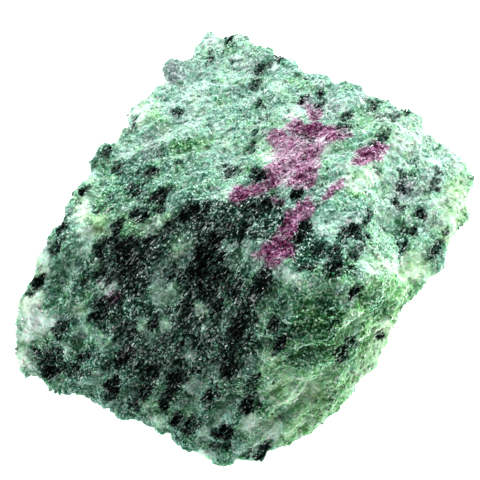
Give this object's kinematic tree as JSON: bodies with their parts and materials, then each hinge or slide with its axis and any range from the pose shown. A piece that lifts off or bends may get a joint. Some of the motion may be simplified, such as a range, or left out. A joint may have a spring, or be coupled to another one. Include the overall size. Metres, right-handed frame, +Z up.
{
  "type": "rough ruby in zoisite stone",
  "caption": "Palm-sized rough block of green zoisite with black hornblende streaks and a magenta ruby vein, broken on all sides, resting on a nearly flat underside.",
  "frame": {"origin": "on the ground under the middle of the stone's box", "axes": "+Z up, +Y towards the low back corner, +X towards the overhanging right rim"},
  "size_m": [0.0572, 0.0592, 0.0252],
  "materials": {
    "zoisite_rock": "rough sugary break, green with black and magenta patches, slightly translucent"
  },
  "bodies": {
    "root": {"stone": "zoisite_rock"}
  },
  "joints": []
}
